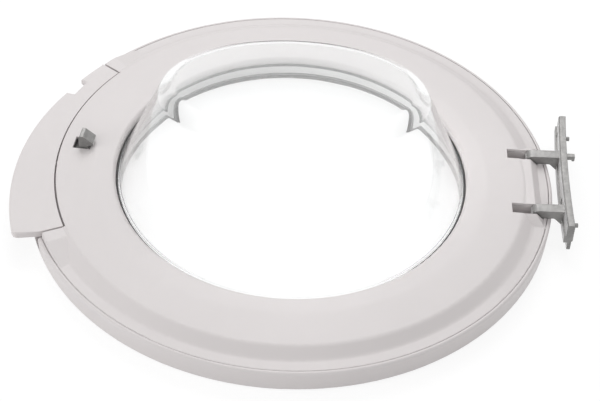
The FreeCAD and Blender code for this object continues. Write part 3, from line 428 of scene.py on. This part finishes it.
def shoulder_patch(grip, pads, side):
    """The rim raised flush with the grip beside one of its ends, with a ramp down to the plain rim."""
    reach = pads.shoulder_flat + pads.shoulder_fall
    sweep = np.linspace(0, reach, 49)
    overlap, gap = 0.004, math.radians(0.5)
    radius = np.linspace(grip.inner_radius - overlap, pads.rim_radius, 33)
    angle = grip.mid_angle + side * (grip.end_angle + gap + sweep)
    plan = turned_xy(radius[None], angle[:, None])
    fall = np.clip((sweep - pads.shoulder_flat) / pads.shoulder_fall, 0, 1)
    edge = np.clip((radius - pads.rim_radius) / RIM_ROUND + 1, 0, 1)
    target = grip.top - PAD_DROP * fall[:, None] - RIM_ROUND * (1 - np.sqrt(1 - edge[None] ** 2))
    return raised_patch(plan, target)


def hinge_patch(pads, low, high):
    """One strip of the pad round the hinge slots: level to a straight edge, then a slope down to the rim. Its
    outer ends slope as well."""
    across = np.linspace(low, high, 25)
    start, past = 0.198, 0.001
    along = np.linspace(start, pads.hinge_edge + pads.hinge_slope + past, 41)
    plan = np.stack(np.broadcast_arrays(along[None], across[:, None]), -1)
    drop = np.clip((along - pads.hinge_edge) / pads.hinge_slope, 0, 1)
    strips = pads.hinge_strips
    ends = np.clip(np.maximum(strips[1] - across, across - strips[4]) / (strips[1] - strips[0]), 0, 1)
    target = pads.hinge_height - PAD_DROP * np.maximum(drop[None], ends[:, None])
    return raised_patch(plan, target)


def box_part(low, high):
    """A plain block between two corners."""
    pick = np.array([[x, y, z] for z in (0, 1) for y in (0, 1) for x in (0, 1)])
    points = np.where(pick == 1, high, low)
    return points, [[0, 2, 3, 1], [4, 5, 7, 6], [0, 1, 5, 4], [2, 6, 7, 3], [0, 4, 6, 2], [1, 3, 7, 5]]


def slot_tray(pads, low, high):
    """The pocket below the inner end of a hinge slot: a floor and three walls, clear of the swinging arm."""
    start, end = pads.tray_reach
    floor, top = pads.tray_heights
    wall = pads.tray_wall
    block = box_part((start - wall, low - wall, floor - wall), (end, high + wall, top))
    return [cut_part(block, [box_part((start, low, floor), (end + wall, high, top + wall))])]


def rounded_outline(corners):
    """A closed outline from corners with their own rounds."""
    places = np.array([corner[:2] for corner in corners])
    runs = []
    for i, (_, _, size) in enumerate(corners):
        before, here, after = places[i - 1], places[i], places[(i + 1) % len(places)]
        runs.append(arc_points(before[None], here[None], after[None], size, 7)[:, 0] if size else here[None])
    return np.concatenate(runs)


def swept(section, steps):
    """A section in X and Z carried along Y: each step gives a Y and a shift in X."""
    return skinned([np.column_stack([section[:, 0] + shift, np.full(len(section), y), section[:, 1]])
                    for y, shift in steps])


def rod_part(radius, start, end, sides=28):
    """A round rod along X."""
    turn = np.linspace(0, 2 * np.pi, sides, endpoint=False)
    return skinned([np.column_stack([np.full(sides, place[0]), place[1] + radius * np.cos(turn),
                                     place[2] + radius * np.sin(turn)]) for place in (start, end)])


def cut_part(part, cutters):
    """A part with other parts cut out of it."""
    blanks = [bpy.data.objects.new("blank", joined_mesh("blank", group)) for group in ([part], cutters)]
    for blank in blanks:
        bpy.context.scene.collection.objects.link(blank)
    holes = blanks[0].modifiers.new("Holes", "BOOLEAN")
    holes.object, holes.operation, holes.solver = blanks[1], "DIFFERENCE", "EXACT"
    skin = blanks[0].evaluated_get(bpy.context.evaluated_depsgraph_get()).data
    result = np.array([point.co for point in skin.vertices]), [list(face.vertices) for face in skin.polygons]
    for blank in blanks:
        bpy.data.meshes.remove(blank.data)
    return result


def tube_part(bore, radius, pivot, low, high, sides=48):
    """The knuckle: a ring about the pivot's axis, along Y."""
    turn = np.linspace(0, 2 * np.pi, sides, endpoint=False)
    around = np.column_stack([np.cos(turn), np.sin(turn)])
    rings = []
    for size, y in ((radius, low), (radius, high), (bore, high), (bore, low)):
        flat = np.array(pivot) + size * around
        rings.append(np.column_stack([flat[:, 0], np.full(sides, y), flat[:, 1]]))
    index = np.arange(4 * sides).reshape(4, sides)
    ahead = np.roll(index, -1, axis=1)
    below = np.roll(index, -1, axis=0)
    quads = np.stack([index, ahead, np.roll(ahead, -1, axis=0), below], -1).reshape(-1, 4)
    return np.concatenate(rings), quads.tolist()


def plate_face(sizes, y):
    """X of the plate's inner face, on a circle of the bend radius that touches plate_x at bend_y."""
    return sizes.plate_x + sizes.bend_radius - np.sqrt(sizes.bend_radius ** 2 - (y - sizes.bend_y) ** 2)


def hinge_plate_part(sizes):
    """The bent bar: rounded top, a narrower strip along its foot, a stiffening flange inside and two screw holes."""
    thick, top, bottom = sizes.plate_thickness, sizes.plate_top, sizes.plate_bottom
    strip, flange = bottom + sizes.strip_height, sizes.flange_heights
    top_round, reach = 0.002, -0.0015
    outer, inner = thick - 0.001, thick - 0.0042
    section = rounded_outline([
        (0, top, top_round), (thick, top, EDGE_ROUND), (thick, strip, EDGE_ROUND), (outer, strip, 0),
        (outer, bottom, EDGE_ROUND), (inner, bottom, EDGE_ROUND), (inner, flange[0], 0),
        (reach, flange[0], EDGE_ROUND), (reach, flange[1], EDGE_ROUND), (0, flange[1], 0)])
    near, far = sizes.plate_ends
    plate = swept(section, [(y, plate_face(sizes, y)) for y in np.linspace(near, far, 41)])
    radius, height = sizes.hole
    rods = [rod_part(radius, (face - 0.01, y, height), (face + 0.02, y, height))
            for y, face in ((y, float(plate_face(sizes, y))) for y in sizes.hole_places)]
    return cut_part(plate, rods)


def hinge_arm_parts(sizes, y):
    """A swan-neck arm with a knuckle on the pin, a run out to the plate and a gusset under it."""
    half = 0.5 * sizes.arm_width
    pivot_x, pivot_z = sizes.pivot
    low, top = sizes.arm_heights
    face = float(plate_face(sizes, y))
    reach, drop = sizes.gusset
    neck, foot = 0.004, pivot_z + 0.0044
    neck_round, gusset_round, under_round = 0.0055, 0.003, 0.002
    section = rounded_outline([
        (pivot_x - neck, foot, 0), (pivot_x - neck, top, neck_round), (face + BURY, top, 0),
        (face + BURY, low - drop, 0), (face, low - drop, 0), (face - reach, low, gusset_round),
        (pivot_x + neck, low, under_round), (pivot_x + neck, foot, 0)])
    arm = swept(section, [(y - half, 0.0), (y + half, 0.0)])
    return [arm, tube_part(*sizes.knuckle, sizes.pivot, y - half, y + half)]


def hinge_claw_part(sizes):
    """A small hooked claw on the outer face of the plate."""
    half = 0.5 * sizes.claw_width
    y = sizes.claw_y
    face = float(plate_face(sizes, y)) + sizes.plate_thickness
    top = sizes.plate_top - sizes.claw_depth
    bottom, end = top - sizes.claw_width, face + sizes.claw_reach
    tooth, tooth_end = end - 0.0025, bottom - 0.0015
    section = rounded_outline([
        (face - BURY, top, 0), (end, top, EDGE_ROUND), (end, tooth_end, EDGE_ROUND),
        (tooth, tooth_end, EDGE_ROUND), (tooth, bottom, EDGE_ROUND), (face - BURY, bottom, 0)])
    return swept(section, [(y - half, 0.0), (y + half, 0.0)])


def new_material(name):
    """An empty material with a Principled shader, and the tools to add nodes to it."""
    material = bpy.data.materials.new(name)
    material.use_nodes = True
    tree = material.node_tree
    tree.nodes.clear()
    shader = tree.nodes.new("ShaderNodeBsdfPrincipled")
    output = tree.nodes.new("ShaderNodeOutputMaterial")
    tree.links.new(shader.outputs["BSDF"], output.inputs["Surface"])
    return material, tree, shader


def noise(tree, scale, detail=3.0, roughness=0.5, stretch=None):
    """A noise pattern on Object coordinates, in turns per metre, drawn out along an axis where asked."""
    place = tree.nodes.new("ShaderNodeTexCoord")
    pattern = tree.nodes.new("ShaderNodeTexNoise")
    pattern.inputs["Scale"].default_value = scale
    pattern.inputs["Detail"].default_value = detail
    pattern.inputs["Roughness"].default_value = roughness
    source = place.outputs["Object"]
    if stretch:
        mapping = tree.nodes.new("ShaderNodeMapping")
        mapping.inputs["Scale"].default_value = stretch
        tree.links.new(source, mapping.inputs["Vector"])
        source = mapping.outputs["Vector"]
    tree.links.new(source, pattern.inputs["Vector"])
    return pattern.outputs["Fac"]


def spread(tree, value, low, high, start=0.3, end=0.7):
    """Maps a pattern between two numbers."""
    node = tree.nodes.new("ShaderNodeMapRange")
    node.inputs["From Min"].default_value = start
    node.inputs["From Max"].default_value = end
    node.inputs["To Min"].default_value = low
    node.inputs["To Max"].default_value = high
    tree.links.new(value, node.inputs["Value"])
    return node.outputs["Result"]


def tint(tree, value, dark, light):
    """Maps a pattern between two colours."""
    node = tree.nodes.new("ShaderNodeValToRGB")
    node.color_ramp.elements[0].position = 0.3
    node.color_ramp.elements[1].position = 0.7
    node.color_ramp.elements[0].color = (*dark, 1)
    node.color_ramp.elements[1].color = (*light, 1)
    tree.links.new(value, node.inputs["Fac"])
    return node.outputs["Color"]


def combine(tree, operation, first, second, kind="ShaderNodeMath"):
    """Joins two values, or a value and a number, by a sum or the like."""
    node = tree.nodes.new(kind)
    node.operation = operation
    for socket, value in zip(node.inputs, (first, second)):
        if isinstance(value, bpy.types.NodeSocket):
            tree.links.new(value, socket)
        else:
            socket.default_value = value
    return node.outputs["Value" if kind == "ShaderNodeMath" or operation == "DOT_PRODUCT" else "Vector"]


def from_axis(tree):
    """The level direction from the porthole's axis to a point, and the face's own direction."""
    place = tree.nodes.new("ShaderNodeTexCoord")
    level = combine(tree, "MULTIPLY", place.outputs["Object"], (1, 1, 0), "ShaderNodeVectorMath")
    out = tree.nodes.new("ShaderNodeVectorMath")
    out.operation = "NORMALIZE"
    tree.links.new(level, out.inputs[0])
    return out.outputs["Vector"], place.outputs["Normal"]


def blend(tree, share, first, second):
    """A share of the second colour over the first."""
    node = tree.nodes.new("ShaderNodeMix")
    node.data_type = "RGBA"
    tree.links.new(share, node.inputs["Factor"])
    for socket, value in ((node.inputs["A"], first), (node.inputs["B"], second)):
        if isinstance(value, bpy.types.NodeSocket):
            tree.links.new(value, socket)
        else:
            socket.default_value = (*value, 1)
    return node.outputs["Result"]


def emboss(tree, shader, value, depth, strength):
    """Turns a pattern into a bump of a depth in metres."""
    node = tree.nodes.new("ShaderNodeBump")
    node.inputs["Distance"].default_value = depth
    node.inputs["Strength"].default_value = strength
    tree.links.new(value, node.inputs["Height"])
    tree.links.new(node.outputs["Normal"], shader.inputs["Normal"])


def shade(colour, factor):
    """A colour made darker or lighter."""
    return tuple(channel * factor for channel in colour)


def moulded_plastic(name, colour, roughness, grain=2600.0, depth=0.00004):
    """Satin moulded plastic: slow drift of colour, mottled gloss and the fine grain of an eroded mould."""
    material, tree, shader = new_material(name)
    drift = noise(tree, 9.0, 4.0)
    tree.links.new(tint(tree, drift, shade(colour, 0.985), shade(colour, 1.012)), shader.inputs["Base Color"])
    gloss = noise(tree, 240.0, 4.0)
    tree.links.new(spread(tree, gloss, roughness - 0.05, roughness + 0.05), shader.inputs["Roughness"])
    emboss(tree, shader, noise(tree, grain, 2.0), depth, 0.35)
    shader.inputs["IOR"].default_value = 1.5
    return material


def cast_metal(name, colour, bright, roughness):
    """Die-cast metal as it leaves the die: flow marks in the colour, uneven gloss and a soft pebbled skin. The
    faces that look at the porthole get a painted highlight: their colour is blended to a bright one."""
    material, tree, shader = new_material(name)
    flow = noise(tree, 150.0, 6.0, 0.65, (1.0, 0.6, 1.0))
    cast = tint(tree, flow, shade(colour, 0.78), shade(colour, 1.16))
    out, face = from_axis(tree)
    inward = combine(tree, "DOT_PRODUCT", out, face, "ShaderNodeVectorMath")
    # painted highlight: faces turned towards the porthole's axis take the bright colour, for the light that falls on
    # them from the handle's side
    painted_highlight = spread(tree, inward, 1.0, 0.0, -0.98, -0.85)
    tree.links.new(blend(tree, painted_highlight, cast, bright), shader.inputs["Base Color"])
    gloss = noise(tree, 420.0, 5.0)
    tree.links.new(spread(tree, gloss, roughness - 0.1, roughness + 0.1), shader.inputs["Roughness"])
    emboss(tree, shader, noise(tree, 900.0, 4.0), 0.00012, 0.4)
    shader.inputs["Metallic"].default_value = 0.5
    return material


def drawn_steel(name, colour):
    """Drawn and plated steel: faint streaks along the wire and uneven gloss."""
    material, tree, shader = new_material(name)
    streak = noise(tree, 700.0, 4.0, 0.6, (1.0, 0.1, 1.0))
    tree.links.new(tint(tree, streak, shade(colour, 0.88), shade(colour, 1.1)), shader.inputs["Base Color"])
    tree.links.new(spread(tree, streak, 0.22, 0.38), shader.inputs["Roughness"])
    emboss(tree, shader, streak, 0.00003, 0.3)
    shader.inputs["Metallic"].default_value = 1.0
    return material


def seal_rubber(name, colour, seat, shade_line_height):
    """Matte moulded rubber with a dusty bloom and a fine grain: pale in its seat, with painted shade along the wiping
    lip, where the gap beside the glass lies in shadow.
    """
    material, tree, shader = new_material(name)
    bloom = noise(tree, 70.0, 5.0)
    dark = tint(tree, bloom, shade(colour, 0.94), shade(colour, 1.04))
    place = tree.nodes.new("ShaderNodeTexCoord")
    height = combine(tree, "DOT_PRODUCT", place.outputs["Object"], (0, 0, 1), "ShaderNodeVectorMath")
    # painted shade: above the set height the seal's colour is blended to the dark colour, for the shadow in the gap
    # beside the glass
    lip = spread(tree, height, 0.0, 1.0, shade_line_height - 0.0004, shade_line_height + 0.0004)
    tree.links.new(blend(tree, lip, seat, dark), shader.inputs["Base Color"])
    tree.links.new(spread(tree, bloom, 0.62, 0.78), shader.inputs["Roughness"])
    emboss(tree, shader, noise(tree, 3200.0, 2.0), 0.00005, 0.4)
    return material


def pressed_glass(name, colour):
    """Clear pressed glass: full transmission, with the slow waviness of a pressing in its surface."""
    material, tree, shader = new_material(name)
    shader.inputs["Base Color"].default_value = (*colour, 1)
    shader.inputs["Roughness"].default_value = 0.0
    shader.inputs["IOR"].default_value = 1.5
    shader.inputs["Transmission Weight"].default_value = 1.0
    emboss(tree, shader, noise(tree, 14.0, 2.0), 0.0006, 0.12)
    return material


def dress(names, material):
    """Gives CAD nodes a material and a smooth skin: doubles joined, sharp edges kept apart."""
    for name in names:
        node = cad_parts[name]
        node.data.materials.clear()
        node.data.materials.append(material)
        smooth_skin(node)


def smooth_skin(node, angle=32.0):
    """Shades a piece smooth, with its doubles joined and its edges sharp above an angle."""
    weld = node.modifiers.new("Join doubles", "WELD")
    weld.merge_threshold = 1e-6
    node.data.polygons.foreach_set("use_smooth", np.ones(len(node.data.polygons), bool))
    split = node.modifiers.new("Keep sharp edges", "EDGE_SPLIT")
    split.split_angle = math.radians(angle)
    node.modifiers.new("Level flat faces", "WEIGHTED_NORMAL")


class DOOR_OT_glass_bowl(bpy.types.Operator):
    """Builds the clear slanted glass bowl in place of its plain solid"""
    bl_idname = "door.glass_bowl"
    bl_label = "Glass Bowl"

    def execute(self, context):
        glass = pressed_glass("pressed_glass", settings().finish.glass_colour)
        bowl = add_piece("glass_bowl_clear", glass_bowl_mesh(settings().bowl), glass, "frame", "glass_bowl",
                         smooth=False)
        bowl.visible_shadow = False
        return {"FINISHED"}


def add_piece(name, mesh, material, body, node=None, smooth=True):
    """Puts a piece of the scene's own on a body, in place of a CAD node where one is named."""
    piece = bpy.data.objects.new(name, mesh)
    bpy.context.scene.collection.objects.link(piece)
    mesh.materials.append(material)
    if smooth:
        smooth_skin(piece)
    if node:
        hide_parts(node)
    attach(piece, body)
    return piece


class DOOR_OT_grip(bpy.types.Operator):
    """Builds the flat pull grip in place of its plain solid"""
    bl_idname = "door.grip"
    bl_label = "Pull Grip"

    def execute(self, context):
        sizes = settings().grip
        outline, show = grip_outline(sizes)
        rounds = np.where(show, sizes.show_round, sizes.seam_round)
        slab = rounded_slab(outline, rounds, sizes.top, sizes.top - sizes.thickness)
        mesh = joined_mesh("pull_grip", [slab] + grip_eyes(sizes))
        add_piece("pull_grip", mesh, bpy.data.materials["satin_plastic"], "handle", "handle_lever")
        return {"FINISHED"}


class DOOR_OT_pads(bpy.types.Operator):
    """Raises the rim beside the grip and round the hinge slots, and closes the slots' inner ends below"""
    bl_idname = "door.pads"
    bl_label = "Raised Pads"

    def execute(self, context):
        grip, pads = settings().grip, settings().pads
        strips = pads.hinge_strips
        patches = {"grip_shoulders": [shoulder_patch(grip, pads, side) for side in (-1, 1)],
                   "hinge_pads": [hinge_patch(pads, *strips[i:i + 2]) for i in (0, 2, 4)],
                   "slot_trays": slot_tray(pads, *strips[1:3]) + slot_tray(pads, *strips[3:5])}
        for name, parts in patches.items():
            add_piece(name, joined_mesh(name, parts), bpy.data.materials["satin_plastic"], "frame")
        return {"FINISHED"}


class DOOR_OT_shell(bpy.types.Operator):
    """Finishes the two rings as satin moulded plastic"""
    bl_idname = "door.shell"
    bl_label = "Rings"

    def execute(self, context):
        finish = settings().finish
        dress(SHELL_NODES, moulded_plastic("satin_plastic", finish.shell_colour, finish.shell_roughness))
        return {"FINISHED"}


class DOOR_OT_castings(bpy.types.Operator):
    """Finishes the latch hook as a die casting, in the metal that the hinge takes as well"""
    bl_idname = "door.castings"
    bl_label = "Latch Hook"

    def execute(self, context):
        finish = settings().finish
        dress(CAST_NODES, cast_metal("cast_metal", finish.cast_colour, finish.highlight_colour, finish.cast_roughness))
        return {"FINISHED"}


class DOOR_OT_hinge(bpy.types.Operator):
    """Builds the hinge with its bent plate in place of the plain casting"""
    bl_idname = "door.hinge"
    bl_label = "Hinge Casting"

    def execute(self, context):
        sizes = settings().hinge
        parts = [hinge_plate_part(sizes), hinge_claw_part(sizes)]
        for y in sizes.arm_places:
            parts += hinge_arm_parts(sizes, y)
        radius, length, depth = sizes.peg
        for y in sizes.peg_places:
            face = float(plate_face(sizes, y)) + sizes.plate_thickness
            height = sizes.plate_top - depth
            parts.append(rod_part(radius, (face - BURY, y, height), (face + length, y, height)))
        mesh = joined_mesh("hinge_bent", parts)
        add_piece("hinge_bent", mesh, bpy.data.materials["cast_metal"], "hinge", "hinge_casting")
        return {"FINISHED"}


class DOOR_OT_fittings(bpy.types.Operator):
    """Finishes the seal, the pins, springs and screws, and the bushes and caps"""
    bl_idname = "door.fittings"
    bl_label = "Seal and Small Fittings"

    def execute(self, context):
        finish = settings().finish
        dress(STEEL_NODES, drawn_steel("plated_steel", finish.steel_colour))
        dress(DARK_NODES, moulded_plastic("black_plastic", finish.dark_colour, 0.5))
        rubber = seal_rubber("rubber_with_painted_shade", finish.lip_shade_colour, finish.seat_colour, finish.shade_line_height)
        dress(("glass_seal",), rubber)
        return {"FINISHED"}


def seen_directly(tree):
    """1 for rays that show the stage itself: from the camera, in a reflection or through the glass."""
    path = tree.nodes.new("ShaderNodeLightPath")
    total = path.outputs["Is Camera Ray"]
    for name in ("Is Glossy Ray", "Is Transmission Ray"):
        total = combine(tree, "MAXIMUM", total, path.outputs[name])
    return total


def floor_material(colour, shadow):
    """A pale floor that takes shadows, lifted to white where it is seen directly, with a share of its shadow."""
    material = bpy.data.materials.new("pale_floor")
    material.use_nodes = True
    tree = material.node_tree
    tree.nodes.clear()
    diffuse = tree.nodes.new("ShaderNodeBsdfDiffuse")
    glow = tree.nodes.new("ShaderNodeEmission")
    seen = seen_directly(tree)
    white_level = 1.05
    lift = combine(tree, "MULTIPLY", seen, white_level - colour[0] * shadow)
    tree.links.new(lift, glow.inputs["Strength"])
    tree.links.new(blend(tree, seen, colour, shade(colour, shadow)), diffuse.inputs["Color"])
    both = tree.nodes.new("ShaderNodeAddShader")
    output = tree.nodes.new("ShaderNodeOutputMaterial")
    tree.links.new(diffuse.outputs["BSDF"], both.inputs[0])
    tree.links.new(glow.outputs["Emission"], both.inputs[1])
    tree.links.new(both.outputs["Shader"], output.inputs["Surface"])
    return material


def studio_world(ambient):
    """A white surround: soft light of a set strength, seen as plain white."""
    world = bpy.data.worlds.new("white_surround")
    world.use_nodes = True
    tree = world.node_tree
    tree.nodes.clear()
    choice = tree.nodes.new("ShaderNodeMixShader")
    output = tree.nodes.new("ShaderNodeOutputWorld")
    tree.links.new(seen_directly(tree), choice.inputs["Fac"])
    for place, strength in ((1, ambient), (2, 1.0)):
        light = tree.nodes.new("ShaderNodeBackground")
        light.inputs["Color"].default_value = (1, 1, 1, 1)
        light.inputs["Strength"].default_value = strength
        tree.links.new(light.outputs["Background"], choice.inputs[place])
    tree.links.new(choice.outputs["Shader"], output.inputs["Surface"])
    return world


def area_lamp(name, place, size, power):
    """A round soft lamp that points at the porthole's centre."""
    data = bpy.data.lights.new(name, "AREA")
    data.shape = "DISK"
    data.size = size
    data.energy = power
    lamp = bpy.data.objects.new(name, data)
    bpy.context.scene.collection.objects.link(lamp)
    lamp.location = place
    lamp.rotation_euler = (-Vector(place)).to_track_quat("-Z", "Y").to_euler()


def photo_camera(stage):
    """The camera on a line that rises at the elevation angle over -Y, turned by the roll, with the focal length
    and the shift of the picture's centre given in pixels of a 600 wide picture."""
    rise, turn = stage.elevation, stage.roll
    back = Vector((0, -math.cos(rise), math.sin(rise)))
    side = Vector((1, 0, 0))
    up = side.cross(-back)
    right = math.cos(turn) * side + math.sin(turn) * up
    over = -math.sin(turn) * side + math.cos(turn) * up
    data = bpy.data.cameras.new("photo_camera")
    data.sensor_width = 36.0
    data.lens = stage.focal_pixels * data.sensor_width / PICTURE_WIDTH
    data.shift_x = -stage.shift[0] / PICTURE_WIDTH
    data.shift_y = stage.shift[1] / PICTURE_WIDTH
    data.clip_start = 0.05
    camera = bpy.data.objects.new("photo_camera", data)
    bpy.context.scene.collection.objects.link(camera)
    turned = Matrix((right, over, back)).transposed().to_4x4()
    camera.matrix_world = Matrix.Translation(back * stage.distance) @ turned
    bpy.context.scene.camera = camera


class DOOR_OT_stage(bpy.types.Operator):
    """Sets the pale floor, the soft studio light and the camera"""
    bl_idname = "door.stage"
    bl_label = "Stage"

    def execute(self, context):
        stage = settings().stage
        reach = 5.0
        corners = np.array([[-1, -1, 0], [1, -1, 0], [1, 1, 0], [-1, 1, 0]]) * reach
        mesh = bpy.data.meshes.new("pale_floor")
        mesh.from_pydata(corners.tolist(), [], [(0, 1, 2, 3)])
        floor = bpy.data.objects.new("pale_floor", mesh)
        context.scene.collection.objects.link(floor)
        mesh.materials.append(floor_material(stage.floor_colour, stage.floor_shadow))
        context.scene.world = studio_world(stage.ambient)
        area_lamp("overhead_lamp", (0.0, 1.8, 1.9), 2.0, stage.overhead)
        area_lamp("front_lamp", (0.3, -2.4, 1.1), 1.6, stage.front)
        area_lamp("side_lamp", (-2.1, -0.8, 0.7), 1.2, stage.side)
        photo_camera(stage)
        context.scene.view_settings.view_transform = "Standard"
        return {"FINISHED"}


class DOOR_PT_panel(bpy.types.Panel):
    """Lists the door's pieces and values in the sidebar"""
    bl_idname = "DOOR_PT_panel"
    bl_label = "Washing Machine Door"
    bl_space_type = "VIEW_3D"
    bl_region_type = "UI"
    bl_category = "Door"

    def draw(self, context):
        for operator in OPERATORS:
            self.layout.operator(operator.bl_idname)
        for name in DoorSettings.__annotations__:
            group = getattr(settings(), name)
            box = self.layout.box()
            for value in group.__annotations__:
                box.prop(group, value)


OPERATORS = (DOOR_OT_shell, DOOR_OT_grip, DOOR_OT_pads, DOOR_OT_castings, DOOR_OT_hinge, DOOR_OT_fittings,
             DOOR_OT_glass_bowl, DOOR_OT_stage)
GROUPS = (GlassBowlSizes, GripSizes, PadSizes, HingeSizes, FinishValues, StageValues, DoorSettings)
CLASSES = GROUPS + OPERATORS + (DOOR_PT_panel,)


def register():
    for item in CLASSES:
        bpy.utils.register_class(item)
    bpy.types.Scene.porthole_door = PointerProperty(type=DoorSettings)


def unregister():
    del bpy.types.Scene.porthole_door
    for item in reversed(CLASSES):
        bpy.utils.unregister_class(item)


def main():
    register()
    bpy.ops.door.shell()
    bpy.ops.door.grip()
    bpy.ops.door.pads()
    bpy.ops.door.castings()
    bpy.ops.door.hinge()
    bpy.ops.door.fittings()
    bpy.ops.door.glass_bowl()
    bpy.ops.door.stage()


if __name__ == "__main__":
    main()
